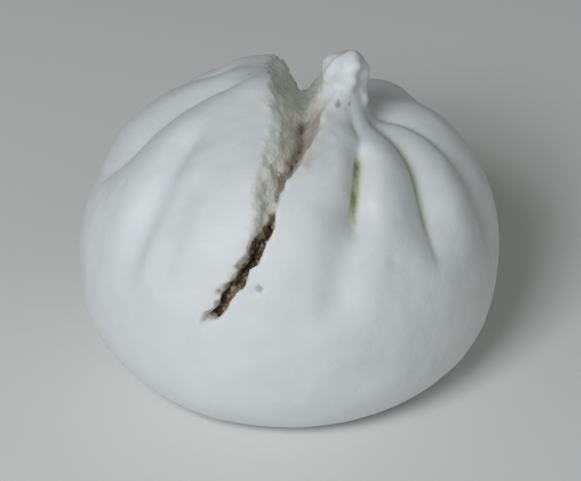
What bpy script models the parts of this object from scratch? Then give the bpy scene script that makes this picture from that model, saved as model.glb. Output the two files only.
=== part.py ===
# Char siu bao: one steamed, pleated bun of white dough that has burst open across its top.
# The burst runs from the back, over the crown and down the front, and shows the pork filling.
# Metres, +Z up. The origin is the centre of the flat underside, and the viewer stands at -Y.

import math

import bmesh
import bpy
import numpy as np
from mathutils import Matrix, Vector, noise

# Driving dimensions of the bun
GIRTH_RADIUS = 0.0370  # half the width, at the widest ring
GIRTH_HEIGHT = 0.0140  # height of that ring above the table
CROWN_RISE = 0.0360  # from the ring up to the top of the plain dome
TUCK_DROP = 0.0210  # how far the underside would run on below the ring if the table didn't flatten it
FULLNESS = 2.25  # 2 is an ellipsoid, more is squarer
FLAT_SHAVE = 0.0004  # what is cut level under the bun, so that it stands on a true flat

# The twisted stub where the pleats were pinched together, on the right half
STUB_FOOT = (0.0084, 0.0005, 0.0430)
STUB_TOP = (0.0103, 0.0015, 0.0575)
STUB_RADIUS = 0.0035
STUB_LOBES = 5
STUB_KNOB = 0.0004  # how far the knob near its top stands out to the left
STUB_LUMP, STUB_WRINKLE = 0.0009, 0.0006  # relief of its lumps and of the wrinkles round it
STUB_ROOT_RISE, STUB_ROOT_REACH = 0.0042, 0.0068  # the flare of dough it grows from

# Pleat creases: waypoints down the bun as azimuth and tilt, then depth, width and step across in mm
# Azimuth 0 faces the viewer and grows to the right, tilt 0 is straight up, all in degrees
PLEATS = [
    (((72, 17), (54, 24), (37, 33), (30.5, 38), (26, 45), (22, 53)), 2.2, 1.8, 0.0),
    (((48, 27), (37, 33), (30.5, 39), (27, 45), (25, 50)), 2.6, 0.9, 0.0),
    (((26, 40), (17, 56), (12, 72)), 1.5, 3.6, 0.0),
    (((90, 19), (84, 24), (76, 30), (68, 37), (61.5, 43.5), (57, 49), (52, 57), (48, 66)), 4.0, 2.5, 0.3),
    (((106, 21), (100, 26), (94.5, 33), (89, 40.5), (85.5, 47), (82.5, 58), (78, 70), (75, 82)), 3.3, 2.8, 0.4),
    (((129, 30), (125, 42), (122, 52), (118, 64), (115, 80)), 2.2, 2.0, 0.5),
    (((140, 24), (148, 36), (151, 48), (152, 60), (152, 76)), 2.5, 2.0, -0.5),
    (((-120, 12), (-112, 19), (-105, 26), (-99, 33), (-93.5, 40), (-89, 48), (-88, 62)), 2.7, 2.3, -0.3),
    (((-140, 26), (-135, 40), (-128, 52), (-122, 66), (-118, 78)), 2.2, 2.0, -0.5),
    (((-70, 27), (-62, 34), (-57, 42), (-53, 52), (-52, 62), (-51, 74)), 2.2, 3.2, 0.0),
    (((-45, 38), (-42, 46), (-39, 56), (-37, 68)), 1.2, 3.1, 0.0),
    (((-160, 38), (-156, 46), (-151, 55), (-146, 66), (-143, 80)), 2.2, 2.0, -0.5),
    (((-166, 36), (-167, 48), (-166, 62), (-164, 76)), 2.8, 1.9, -0.6),
]

# Swellings of the two halves: azimuth and tilt in degrees, rise and reach in mm
SWELLINGS = [
    (-105, 10, 1.8, 8.0),
    (-164, 24, -1.1, 7.0),
    (40, 28, 1.2, 11.0),
    (-25, 45, 1.0, 12.0),
    (85, 66, 0.9, 18.0),
    (92, 42, 1.8, 13.0),
    (125, 42, 0.3, 12.0),
    (100, 22, -0.3, 6.0),
    (-88, 62, -0.3, 16.0),
    (125, 30, -3.4, 9.0),
    (106, 58, -1.0, 10.0),
]

# The burst, from its back end over the crown to its front end: azimuth and tilt in degrees, then in mm
# the depth of the split and the half widths of its left face, its right face and its bottom
BURST = [
    (176, 80, -2.0, 0.2, 0.2, 0.1),
    (176, 70, 3.0, 1.4, 1.2, 0.1),
    (175, 59, 5.2, 3.2, 3.2, 0.4),
    (173, 46, 6.6, 5.0, 5.4, 1.0),
    (171, 33, 7.2, 6.4, 6.2, 1.2),
    (163, 17, 7.2, 6.6, 5.4, 0.8),
    (80, 5, 7.2, 6.5, 4.0, 0.3),
    (16, 17, 6.6, 5.9, 2.6, 0.2),
    (2, 26, 5.2, 4.4, 1.6, 0.2),
    (-4.5, 35, 4.4, 3.6, 0.9, 0.2),
    (-6, 42, 5.2, 2.8, 0.6, 0.25),
    (-8, 49, 9.0, 1.8, 0.9, 0.8),
    (-13.3, 59, 9.0, 1.3, 0.9, 0.9),
    (-20.5, 68.5, 8.0, 0.9, 0.7, 0.6),
    (-23.2, 73.5, 4.0, 0.55, 0.5, 0.4),
    (-25, 77.5, -4.0, 0.4, 0.4, 0.3),
]
CRAG_SIZE = 0.0034  # spacing of the crags on the torn faces
CRAG_RELIEF = 0.0010
WANDER_SIZE = 0.0026  # spacing of the split's zigzags
WANDER_RELIEF = 0.0009
STREAK_LENGTH = 0.0070  # soft layers that run along the torn faces
STREAK_SIZE = 0.0015
STREAK_RELIEF = 0.0006

# The pork filling, seen at the bottom of the split
FILLING_CENTRE = (-0.0038, -0.0108, 0.0238)
FILLING_SIZE = (0.0195, 0.0215, 0.0155)
CHUNK_SIZE = 0.0085
CHUNK_RELIEF = 0.0014
FILLING_GAP = 0.0003

DOUGH_GRAIN = 0.0006  # spacing of the dough's points before it is thinned out
DOUGH_SHARE = 0.066  # share of its faces that stays
FILLING_SHARE = 0.24
SEED_OFFSET = Vector((3.1, 7.7, 5.3))

GIRTH_CENTRE = np.array([0.0, 0.0, GIRTH_HEIGHT])
CENTRING = Vector((-0.00040, -0.00022, 0.0))  # brings the middle of the finished bun's box over the origin
MM = 0.001


def direction(azimuth, tilt):
    """Unit vector from the middle of the girth, for angles in degrees."""
    a, t = math.radians(azimuth), math.radians(tilt)
    return np.array([math.sin(t) * math.sin(a), -math.sin(t) * math.cos(a), math.cos(t)])


def smooth_step(low, high, value):
    share = np.clip((value - low) / (high - low), 0, 1)
    return share * share * (3 - 2 * share)


def rough(points, size, offset=0.0):
    """Soft noise from -1 to 1 at each point, with lumps of about the given size."""
    shift = SEED_OFFSET * (1 + offset)
    return np.array([noise.noise(Vector(p) / size + shift) for p in points])


def dome_radius(ways):
    """Distance from the girth's middle to the plain dome, with its underside flattened by the table."""
    across = np.hypot(ways[:, 0], ways[:, 1]) / GIRTH_RADIUS
    rise = np.where(ways[:, 2] > 0, CROWN_RISE, TUCK_DROP)
    radius = (across**FULLNESS + np.abs(ways[:, 2] / rise) ** FULLNESS) ** (-1 / FULLNESS)
    table = (GIRTH_HEIGHT + FLAT_SHAVE) / np.maximum(-ways[:, 2], 1e-3)
    edge = 16.0
    return (radius**-edge + table**-edge) ** (-1 / edge)


def angle_to(ways, way):
    return np.arccos(np.clip(ways @ way, -1, 1))


def smooth_path(rows, per_step):
    """The rows joined up, with their corners rounded off."""
    rows = np.asarray(rows, float)
    given = np.arange(len(rows))
    wanted = np.linspace(0, len(rows) - 1, per_step * (len(rows) - 1) + 1)
    fine = np.stack([np.interp(wanted, given, column) for column in rows.T], axis=1)
    window = np.hanning(2 * per_step + 1)[1:-1]
    window /= window.sum()
    padded = np.pad(fine, ((per_step - 1, per_step - 1), (0, 0)), mode="edge")
    return np.stack([np.convolve(column, window, "valid") for column in padded.T], axis=1)


def pleat_relief(ways, waypoints, depth, width, step):
    """How far one crease lowers the skin: a sharp furrow in a broad one, with its right side folded under.

    A furrow wider than 3 mm is one soft valley, with that half width.
    """
    path = smooth_path([direction(*point) for point in waypoints], 8)
    path /= np.linalg.norm(path, axis=1)[:, None]
    ahead = np.gradient(path, axis=0)
    gone = np.cumsum(np.linalg.norm(ahead, axis=1))
    ahead /= np.linalg.norm(ahead, axis=1)[:, None]
    nearest = np.argmax(ways @ path.T, axis=1)
    along = (gone[nearest] + np.einsum("ij,ij->i", ways, ahead[nearest])) / gone[-1]
    side = np.cross(path, ahead)[nearest]
    across = np.einsum("ij,ij->i", ways, side) * GIRTH_RADIUS / MM
    fade = smooth_step(-0.08, 0.16, along) * (1 - smooth_step(0.70, 1.08, along))
    crisp, spread = (0.5, 2.4 * width) if width < 3 else (0.0, width)
    furrow = crisp * np.exp(-np.abs(across) / width) + (1 - crisp) * np.exp(-((across / spread) ** 2))
    fold = step * np.tanh(across / 0.7) * np.exp(-((across / 4.5) ** 2))
    return fade * (depth * furrow + fold) * MM


def plain_radius(ways):
    """Distance from the girth's middle to the swollen dome, without pleats or stub."""
    radius = dome_radius(ways)
    for azimuth, tilt, rise, reach in SWELLINGS:
        away = angle_to(ways, direction(azimuth, tilt)) * GIRTH_RADIUS / MM
        radius += rise * MM * np.exp(-((away / reach) ** 2))
    return radius


def skin_radius(ways):
    """Distance from the girth's middle to the unbroken skin, in the given directions."""
    ways = np.asarray(ways, float)
    radius = plain_radius(ways)
    for pleat in PLEATS:
        radius -= pleat_relief(ways, *pleat)
    foot = np.array(STUB_TOP) - GIRTH_CENTRE
    away = angle_to(ways, foot / np.linalg.norm(foot)) * (GIRTH_HEIGHT + CROWN_RISE)
    radius += STUB_ROOT_RISE * np.exp(-((away / STUB_ROOT_REACH) ** 2))
    upper = smooth_step(-0.55, 0.1, ways[:, 2])
    radius += upper * 0.0007 * rough(ways * GIRTH_RADIUS, 0.016)
    radius += upper * 0.00025 * rough(ways * GIRTH_RADIUS, 0.0055, 0.7)
    return radius


def burst_stations():
    """The burst's rows, rounded off: unit direction, then depth and half widths in metres."""
    rows = [[*direction(azimuth, tilt), *np.array(sizes) * MM] for azimuth, tilt, *sizes in BURST]
    stations = smooth_path(rows, 12)
    stations[:, :3] /= np.linalg.norm(stations[:, :3], axis=1)[:, None]
    return stations


def new_object(name, mesh):
    mesh.transform(Matrix.Translation(CENTRING))
    made = bpy.data.objects.new(name, mesh)
    bpy.context.scene.collection.objects.link(made)
    return made


def mesh_from(name, bm):
    mesh = bpy.data.meshes.new(name)
    bm.to_mesh(mesh)
    bm.free()
    return mesh


def material(name, colour, roughness):
    made = bpy.data.materials.new(name)
    made.use_nodes = True
    shader = made.node_tree.nodes["Principled BSDF"]
    shader.inputs["Base Color"].default_value = (*colour, 1)
    shader.inputs["Roughness"].default_value = roughness
    shader.inputs["Metallic"].default_value = 0.0
    made.diffuse_color = (*colour, 1)
    return made


def skin_object():
    """The whole bun before it bursts."""
    bm = bmesh.new()
    bmesh.ops.create_icosphere(bm, subdivisions=7, radius=1.0)
    ways = np.array([v.co.normalized() for v in bm.verts])
    places = GIRTH_CENTRE + ways * skin_radius(ways)[:, None]
    for vertex, place in zip(bm.verts, places):
        vertex.co = place
    return new_object("dough", mesh_from("dough", bm))


def stub_object():
    """The pinched stub: a short twisted post with a lumpy, slanting top."""
    foot, top = Vector(STUB_FOOT), Vector(STUB_TOP)
    axis = (top - foot).normalized()
    east = axis.cross(Vector((0, 1, 0))).normalized()
    north = axis.cross(east)
    levels, turns = 22, 40
    bm = bmesh.new()
    rings = []
    for row in range(levels):
        share = row / (levels - 1)
        cap = math.sqrt(max(0.0, 1 - max(0.0, (share - 0.72) / 0.28) ** 2.6))
        taper = 1.22 - 0.22 * share
        ring = []
        for column in range(turns):
            turn = math.tau * column / turns
            lobe = 1 + 0.12 * math.cos(STUB_LOBES * (turn - 0.9 * share))
            out = east * math.cos(turn) + north * math.sin(turn)
            slant = 0.0006 * math.cos(turn - 2.2) * share
            knob = STUB_KNOB * math.exp(-((share - 0.80) / 0.13) ** 2 - (math.sin(turn / 2 - 0.1) / 0.42) ** 2)
            place = foot + axis * (share * (top - foot).length + slant)
            place += out * (STUB_RADIUS * taper * lobe * cap + knob)
            lump = STUB_LUMP * noise.noise(place / 0.0028 + SEED_OFFSET)
            lump += STUB_WRINKLE * noise.noise(Vector((place.x / 0.003, place.y / 0.003, place.z / 0.0014)))
            ring.append(bm.verts.new(place + (out * 0.9 + axis * 0.3) * lump))
        rings.append(ring)
    for one, two in zip(rings, rings[1:]):
        for k in range(turns):
            bm.faces.new((one[k], one[(k + 1) % turns], two[(k + 1) % turns], two[k]))
    bm.faces.new(rings[0])
    bm.faces.new(rings[-1])
    bmesh.ops.recalc_face_normals(bm, faces=bm.faces[:])
    return new_object("stub_post", mesh_from("stub_post", bm))


def split_cutter():
    """The wedge of the burst: rows of points down its left face, round its tip and up its right face."""
    stations = burst_stations()
    ways = stations[:, :3]
    skin = plain_radius(ways)
    ahead = np.gradient(ways, axis=0)
    gone = np.cumsum(np.linalg.norm(ahead, axis=1)) * GIRTH_RADIUS
    lefts = np.cross(ahead, ways)
    lefts /= np.linalg.norm(lefts, axis=1)[:, None]
    levels = np.linspace(0, 1, 20)
    bm = bmesh.new()
    rings = []
    for way, side, radius, run, (depth, left, right, tip) in zip(ways, lefts, skin, gone, stations[:, 3:]):
        ring = []
        for sign, wide, most, power in ((1, left, 2.2, 0.85), (-1, right, 1.15, 0.9)):
            column = []
            for level in levels:
                out = -depth + level * (depth + 0.013)
                share = np.clip((out + depth) / max(depth, 0.001), 0, most)
                offset = tip + (wide - tip) * share**power
                middle = Vector(GIRTH_CENTRE + way * (radius + out))
                place = middle + Vector(side) * (sign * offset)
                wander = noise.noise(middle / WANDER_SIZE) + 0.5 * noise.noise(middle / (0.4 * WANDER_SIZE))
                wander *= 1 - 0.7 * smooth_step(0.003, 0.005, left)
                crag = noise.noise(place / CRAG_SIZE + SEED_OFFSET)
                crag += 0.5 * noise.noise(place / (0.45 * CRAG_SIZE) - SEED_OFFSET)
                streak = noise.noise(Vector((run / STREAK_LENGTH, out / STREAK_SIZE, 2.3 * sign)))
                push = (CRAG_RELIEF * crag + STREAK_RELIEF * streak) * min(1.0, offset / 0.0030)
                column.append(bm.verts.new(place + Vector(side) * (sign * push + WANDER_RELIEF * wander)))
            ring.append(column)
        rings.append(ring[0][::-1] + ring[1])
    for one, two in zip(rings, rings[1:]):
        count = len(one)
        for k in range(count):
            bm.faces.new((one[k], one[(k + 1) % count], two[(k + 1) % count], two[k]))
    for ring in (rings[0], rings[-1]):
        bm.faces.new(ring)
    bmesh.ops.triangulate(bm, faces=bm.faces[:])
    bmesh.ops.recalc_face_normals(bm, faces=bm.faces[:])
    return new_object("split_cutter", mesh_from("split_cutter", bm))


def filling_object(name, grown):
    """The lumpy pork filling, or the pocket round it when grown by the gap."""
    bm = bmesh.new()
    bmesh.ops.create_icosphere(bm, subdivisions=5, radius=1.0)
    for vertex in bm.verts:
        way = vertex.co.normalized()
        plain = Vector([w * s for w, s in zip(way, FILLING_SIZE)])
        lump = noise.cell(plain / CHUNK_SIZE + SEED_OFFSET) * 0.5 + noise.noise(plain / CHUNK_SIZE)
        vertex.co = Vector(FILLING_CENTRE) + plain + way * (CHUNK_RELIEF * lump + grown)
    bmesh.ops.smooth_vert(bm, verts=bm.verts[:], factor=0.5, use_axis_x=True, use_axis_y=True, use_axis_z=True)
    return new_object(name, mesh_from(name, bm))


def floor_cutter():
    """What lies under the table's level, so that the bun's underside is one true flat."""
    bm = bmesh.new()
    bmesh.ops.create_cube(bm, size=0.12)
    for vertex in bm.verts:
        vertex.co.z -= 0.06
    return new_object("floor_cutter", mesh_from("floor_cutter", bm))


def boolean(target, other, operation):
    """A Boolean that stays live on the target; the other object is a wire guide."""
    other.display_type = "WIRE"
    other.hide_render = True
    step = target.modifiers.new(other.name, "BOOLEAN")
    step.operation = operation
    step.solver = "EXACT"
    step.object = other


def keep_largest_piece(target):
    """Applies the target's modifiers and drops the scraps that the cuts left loose."""
    bm = bmesh.new()
    bm.from_object(target, bpy.context.evaluated_depsgraph_get())
    waiting = set(bm.verts)
    pieces = []
    while waiting:
        front = [waiting.pop()]
        piece = list(front)
        while front:
            near = {edge.other_vert(v) for v in front for edge in v.link_edges} & waiting
            waiting -= near
            front = list(near)
            piece += front
        pieces.append(piece)
    pieces.sort(key=len)
    bmesh.ops.delete(bm, geom=[v for piece in pieces[:-1] for v in piece], context="VERTS")
    target.modifiers.clear()
    bm.to_mesh(target.data)
    bm.free()


def thin_out(target, share):
    step = target.modifiers.new("thin_out", "DECIMATE")
    step.decimate_type = "COLLAPSE"
    step.ratio = share


def main():
    for old in list(bpy.data.objects):
        bpy.data.objects.remove(old)
    dough = skin_object()
    dough.data.materials.append(material("steamed_dough", (0.74, 0.75, 0.72), 0.6))
    boolean(dough, split_cutter(), "DIFFERENCE")
    boolean(dough, stub_object(), "UNION")
    boolean(dough, filling_object("pocket_cutter", FILLING_GAP), "DIFFERENCE")
    remesh = dough.modifiers.new("even_grain", "REMESH")
    remesh.mode = "VOXEL"
    remesh.voxel_size = DOUGH_GRAIN
    keep_largest_piece(dough)
    for name in ("stub_post", "split_cutter", "pocket_cutter"):
        bpy.data.objects.remove(bpy.data.objects[name])
    thin_out(dough, DOUGH_SHARE)
    boolean(dough, floor_cutter(), "DIFFERENCE")
    filling = filling_object("filling", 0.0)
    filling.data.materials.append(material("barbecued_pork", (0.10, 0.065, 0.037), 0.35))
    thin_out(filling, FILLING_SHARE)


main()
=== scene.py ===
import math
from functools import partial

import bmesh
import bpy
import numpy as np
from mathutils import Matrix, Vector, bvhtree, kdtree, noise


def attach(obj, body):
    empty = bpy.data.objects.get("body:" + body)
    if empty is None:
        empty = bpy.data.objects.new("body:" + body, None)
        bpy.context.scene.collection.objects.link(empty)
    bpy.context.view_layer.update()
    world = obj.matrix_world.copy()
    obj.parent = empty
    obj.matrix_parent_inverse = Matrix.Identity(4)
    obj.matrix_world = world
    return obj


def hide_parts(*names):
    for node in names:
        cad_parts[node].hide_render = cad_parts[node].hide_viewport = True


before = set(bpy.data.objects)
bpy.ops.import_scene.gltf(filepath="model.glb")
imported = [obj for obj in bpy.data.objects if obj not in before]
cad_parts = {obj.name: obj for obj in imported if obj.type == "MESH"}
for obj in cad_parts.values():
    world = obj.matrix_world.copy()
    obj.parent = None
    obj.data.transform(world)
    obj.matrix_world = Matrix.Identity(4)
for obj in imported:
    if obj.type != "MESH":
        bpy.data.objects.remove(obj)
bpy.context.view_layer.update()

mm = 0.001
noiseStart = Vector((3.1, 7.7, 5.3))  # keeps the noises off the origin, where they are regular
# settings that many nodes share
softly = dict(interpolation_type="SMOOTHSTEP")
inColour = dict(data_type="RGBA")
asVector = dict(data_type="FLOAT_VECTOR")


def linear(hexColour):  # sRGB hex to linear RGBA
    parts = [int(hexColour[k:k + 2], 16) / 255 for k in (1, 3, 5)]
    return tuple(c / 12.92 if c <= 0.04045 else ((c + 0.055) / 1.055) ** 2.4 for c in parts) + (1.0,)


def addNode(tree, kind, feeds=None, **settings):  # feeds: input name or number -> node, output or value
    node = tree.nodes.new(kind)
    for name, value in settings.items():
        setattr(node, name, value)
    for key, source in (feeds or {}).items():
        if isinstance(source, bpy.types.Node):
            source = next(output for output in source.outputs if output.enabled)
        if isinstance(source, bpy.types.NodeSocket):
            tree.links.new(source, node.inputs[key])
        else:
            node.inputs[key].default_value = source
    return node


def newObject(name, mesh):
    made = bpy.data.objects.new(name, mesh)
    bpy.context.scene.collection.objects.link(made)
    return made


def objectFrom(name, bm):
    mesh = bpy.data.meshes.new(name)
    bm.to_mesh(mesh)
    bm.free()
    return newObject(name, mesh)


def setAttribute(mesh, name, values, kind="FLOAT"):
    made = mesh.attributes.get(name) or mesh.attributes.new(name, kind, "POINT")
    made.data.foreach_set("vector" if kind == "FLOAT_VECTOR" else "value", np.ravel(values))


def getRows(items, name, width=3):  # one row of numbers for each item
    out = np.empty(len(items) * width)
    items.foreach_get(name, out)
    return out.reshape(-1, width)


def newTree(name, **inputs):  # the tree, the function that adds a node to it, and its inputs, given by kind
    tree = bpy.data.node_groups.new(name, "GeometryNodeTree")
    for kind, labels in inputs.items():
        for label in labels.split():
            tree.interface.new_socket(label, in_out="INPUT", socket_type="NodeSocket" + kind)
    tree.interface.new_socket("Geometry", in_out="OUTPUT", socket_type="NodeSocketGeometry")
    add = partial(addNode, tree)
    return tree, add, add("NodeGroupInput").outputs


def makePlain(made):  # what the object's modifiers give becomes its own mesh
    graph = bpy.context.evaluated_depsgraph_get()
    mesh = bpy.data.meshes.new_from_object(made.evaluated_get(graph), depsgraph=graph)
    mesh.name = made.name
    made.modifiers.clear()
    made.data = mesh
    return mesh


def grow(name, tree, values):  # an object with the plain mesh that the tree makes of these values
    made = newObject(name, bpy.data.meshes.new(name))
    step = made.modifiers.new(name, "NODES")
    step.node_group = tree
    for item in tree.interface.items_tree:  # by each socket's identifier, before the first evaluation
        if item.item_type == "SOCKET" and item.in_out == "INPUT":
            step[item.identifier] = values[item.name]
    makePlain(made)
    return made


def closeRings(bm, rings):  # faces from each ring to the next, and over both ends
    for one, two in zip(rings, rings[1:]):
        for k in range(len(one)):
            bm.faces.new((one[k], one[(k + 1) % len(one)], two[(k + 1) % len(one)], two[k]))
    bm.faces.new(rings[0])
    bm.faces.new(rings[-1])


def pointTree(points):
    tree = kdtree.KDTree(len(points))
    for k, point in enumerate(points):
        tree.insert(point, k)
    tree.balance()
    return tree


def dropObjects(*goners):
    for goner in goners:
        bpy.data.objects.remove(goner)


def smoothStep(low, high, value):
    share = np.clip((value - low) / (high - low), 0, 1)
    return share * share * (3 - 2 * share)


def smoothPath(rows, perStep):  # the rows joined up, with their corners rounded off
    rows = np.asarray(rows, float)
    wanted = np.linspace(0, len(rows) - 1, perStep * (len(rows) - 1) + 1)
    fine = np.stack([np.interp(wanted, np.arange(len(rows)), column) for column in rows.T], axis=1)
    window = np.hanning(2 * perStep + 1)[1:-1]
    window /= window.sum()
    padded = np.pad(fine, ((perStep - 1, perStep - 1), (0, 0)), mode="edge")
    return np.stack([np.convolve(column, window, "valid") for column in padded.T], axis=1)


def unit(rows):
    return rows / np.linalg.norm(rows, axis=1)[:, None]


# Materials. Inputs by number: in Map Range 0 is the value, 1 and 2 its range and 3 and 4 the new one;
# in Mix 0 is the share, and 2 and 3 or the colours 6 and 7 are mixed. Scales count patches per metre.

def newMaterial(name):  # the material, and the function that adds a node to it
    made = bpy.data.materials.new(name)
    made.use_nodes = True
    made.node_tree.nodes.clear()
    return made, partial(addNode, made.node_tree)


doughLook = dict(
    skin=("#E0E3E6", "#EEF0F1"),  # cool white, in clouds of 7 mm
    fold="#BDC09A", deepFoldShade="#83875A",  # yellower down in the creases, partly the dough's own tint and partly painted shade; the olive at their bottoms is painted shade
    crumb=("#DEDDD3", "#F5F5F0"),  # cream, in strands of 2 to 5 mm
    seep="#ACA294",  # sauce under the surface, and painted shade on the burst's right face and the stub's foot
    sauce=("#4C4132", "#B0A48E"),  # sauce soaked in, in flecks of 1 mm
    cleft="#5E5341", cleftStrength=0.6,  # painted contact shadow along the closed bottom of the burst, in sauce brown
    skinRoughness=0.46, crumbRoughness=1.0,
)
# place, reach and strength of each small mark on the skin, in mm: first painted shade in a small dimple, then
# brown specks on the stub's foot
specksAndDimpleShade = [
    # painted shade in the small dimple on the front
    (-5.2, -33.0, 32.7, 0.95, 0.5, "#7E8B92"),
    (8.1, -4.4, 50.8, 0.70, 0.5, "#6F655A"),
    (10.1, -4.4, 50.3, 0.45, 0.4, "#7A7064"),
    (9.3, -4.4, 49.9, 0.35, 0.35, "#7A7064"),
]
markShift, markSquash = 0.0008, 0.25  # how far noise bends a mark's outline, and how it is drawn out inward


def steamedWheatDough():  # moist: a tight satin skin that lets some light in, matt open crumb where it tore
    made, add = newMaterial("steamedWheatDough")
    place = add("ShaderNodeTexCoord").outputs["Object"]
    torn, crease, sauce, seep, cleft = (
        add("ShaderNodeAttribute", attribute_name=name).outputs["Fac"]
        for name in ("torn", "crease", "sauce", "seep", "cleft"))
    cloud, blotch, fleck, warp = (
        add("ShaderNodeTexNoise", {"Vector": place, "Scale": scale, "Detail": detail})
        for scale, detail in ((140.0, 3.0), (430.0, 5.0), (1100.0, 2.0), (1500.0, 2.0)))
    strands = add("ShaderNodeVectorMath", {0: place, 1: (1.0, 0.4, 0.8)}, operation="MULTIPLY")
    strands = add("ShaderNodeTexNoise", {"Vector": strands, "Scale": 520.0, "Detail": 1.0})
    strands = add("ShaderNodeMapRange", {0: strands, 1: 0.33, 2: 0.66})
    fleck = add("ShaderNodeMapRange", {0: fleck, 1: 0.38, 2: 0.60})

    # how much of each colour lies over the one before
    # pale yellow over the creases, part tint and part painted shade, then olive painted shade at their
    # bottoms
    fold = add("ShaderNodeMapRange", {0: crease, 1: 0.22, 2: 0.62, 4: 0.75}, **softly)
    deepFoldShade = add("ShaderNodeMapRange", {0: crease, 1: 0.42, 2: 0.80}, **softly)
    blotch = add("ShaderNodeMath", {0: blotch, 1: -0.5}, operation="ADD")
    # warm grey of sauce under the surface, partly painted shade in the notch
    seepedAndShaded = add("ShaderNodeMath", {0: blotch, 1: 0.5, 2: seep}, operation="MULTIPLY_ADD")
    seepedAndShaded = add("ShaderNodeMapRange", {0: seepedAndShaded, 1: 0.12, 2: 0.78, 4: 0.85}, **softly)
    soaked = add("ShaderNodeMath", {0: blotch, 1: 1.5, 2: sauce}, operation="MULTIPLY_ADD")
    soaked = add("ShaderNodeMapRange", {0: soaked, 1: 0.20, 2: 0.70}, **softly)
    soaked = add("ShaderNodeMath", {0: soaked, 1: torn}, operation="MULTIPLY")
    # painted contact shadow along the closed bottom of the burst
    cleftShade = add("ShaderNodeMath", {0: cleft, 1: doughLook["cleftStrength"]}, operation="MULTIPLY")
    colour, crumbColour, sauceColour = (
        add("ShaderNodeMix", {0: share, 6: linear(dark), 7: linear(pale)}, **inColour).outputs[2]
        for share, (dark, pale) in (
            (cloud, doughLook["skin"]), (strands, doughLook["crumb"]), (fleck, doughLook["sauce"])))
    layers = [
        (fold, linear(doughLook["fold"])), (deepFoldShade, linear(doughLook["deepFoldShade"])), (torn, crumbColour),
        (seepedAndShaded, linear(doughLook["seep"])), (soaked, sauceColour), (cleftShade, linear(doughLook["cleft"])),
    ]
    bend = {0: warp.outputs["Color"], 1: (markShift,) * 3, 2: place}
    bent = add("ShaderNodeVectorMath", bend, operation="MULTIPLY_ADD")
    bent = add("ShaderNodeVectorMath", {0: bent, 1: (1.0, markSquash, 1.0)}, operation="MULTIPLY")
    for x, y, z, reach, strength, shade in specksAndDimpleShade:
        spot = [c * mm + markShift / 2 for c in (x, y, z)]
        spot[1] *= markSquash
        away = add("ShaderNodeVectorMath", {0: bent, 1: spot}, operation="DISTANCE").outputs["Value"]
        ranges = {0: away, 1: 0.3 * reach * mm, 2: reach * mm, 3: strength, 4: 0.0}
        layers.append((add("ShaderNodeMapRange", ranges, **softly), linear(shade)))
    for share, shade in layers:
        colour = add("ShaderNodeMix", {0: share, 6: colour, 7: shade}, **inColour).outputs[2]

    # finish: faint dimples on the skin, pores of a third of a millimetre in the crumb
    rough = add("ShaderNodeMix", {0: torn, 2: doughLook["skinRoughness"], 3: doughLook["crumbRoughness"]})
    fine = add("ShaderNodeTexNoise", {"Vector": place, "Scale": 900.0, "Detail": 2.0, "Roughness": 0.6})
    dimple = add("ShaderNodeTexVoronoi", {"Vector": place, "Scale": 420.0})
    dimple = add("ShaderNodeMapRange", {0: dimple, 1: 0.0, 2: 0.35}, **softly)
    pores = add("ShaderNodeTexVoronoi", {"Vector": place, "Scale": 1400.0})
    pores = add("ShaderNodeMath", {0: pores, 1: torn}, operation="MULTIPLY")
    bump = add("ShaderNodeBump", {"Height": fine, "Strength": 0.25, "Distance": 0.00025})
    bump = add("ShaderNodeBump", {"Height": dimple, "Normal": bump, "Strength": 0.12, "Distance": 0.0002})
    bump = add("ShaderNodeBump", {"Height": pores, "Normal": bump, "Strength": 0.5, "Distance": 0.0003})
    shader = add("ShaderNodeBsdfPrincipled", {
        "Base Color": colour, "Roughness": rough, "Normal": bump, "IOR": 1.42,
        "Subsurface Weight": 0.5, "Subsurface Radius": (1.0, 0.85, 0.7), "Subsurface Scale": 0.0022,
    })
    add("ShaderNodeOutputMaterial", {"Surface": shader})
    return made


porkLook = dict(
    meat=("#483A2D", "#927C5E"), fat=("#9A866A", "#BFAE93"),
    paleFrom=0.72,  # bits with a tone above this are fat
    roughness=(0.22, 0.55),
)


def barbecuedPork():  # chopped roast pork in thick soy and oyster sauce: dark, sticky, glossy, with paler fat
    made, add = newMaterial("barbecuedPork")
    place = add("ShaderNodeTexCoord").outputs["Object"]
    tone = add("ShaderNodeAttribute", attribute_name="tone").outputs["Fac"]
    grain = add("ShaderNodeTexNoise", {"Vector": place, "Scale": 600.0, "Detail": 5.0, "Distortion": 0.6})
    meat, fat = (
        add("ShaderNodeMix", {0: grain, 6: linear(dark), 7: linear(pale)}, **inColour).outputs[2]
        for dark, pale in (porkLook["meat"], porkLook["fat"]))
    pale = add("ShaderNodeMapRange", {0: tone, 1: porkLook["paleFrom"], 2: porkLook["paleFrom"] + 0.08})
    colour = add("ShaderNodeMix", {0: pale, 6: meat, 7: fat}, **inColour)
    smooth, dull = porkLook["roughness"]
    rough = add("ShaderNodeMapRange", {0: grain, 1: 0.3, 2: 0.7, 3: smooth, 4: dull})
    bump = add("ShaderNodeBump", {"Height": grain, "Strength": 0.6, "Distance": 0.0005})
    shader = add("ShaderNodeBsdfPrincipled", {
        "Base Color": colour.outputs[2], "Roughness": rough, "Normal": bump, "IOR": 1.45,
        "Subsurface Weight": 0.15, "Subsurface Radius": (1.0, 0.4, 0.2), "Subsurface Scale": 0.001,
    })
    add("ShaderNodeOutputMaterial", {"Surface": shader})
    return made


doughMaterial, porkMaterial = steamedWheatDough(), barbecuedPork()
print("materials")


# The bun: directions on it are azimuth, 0 to the camera and growing to the right, and tilt, 0 straight up

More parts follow.
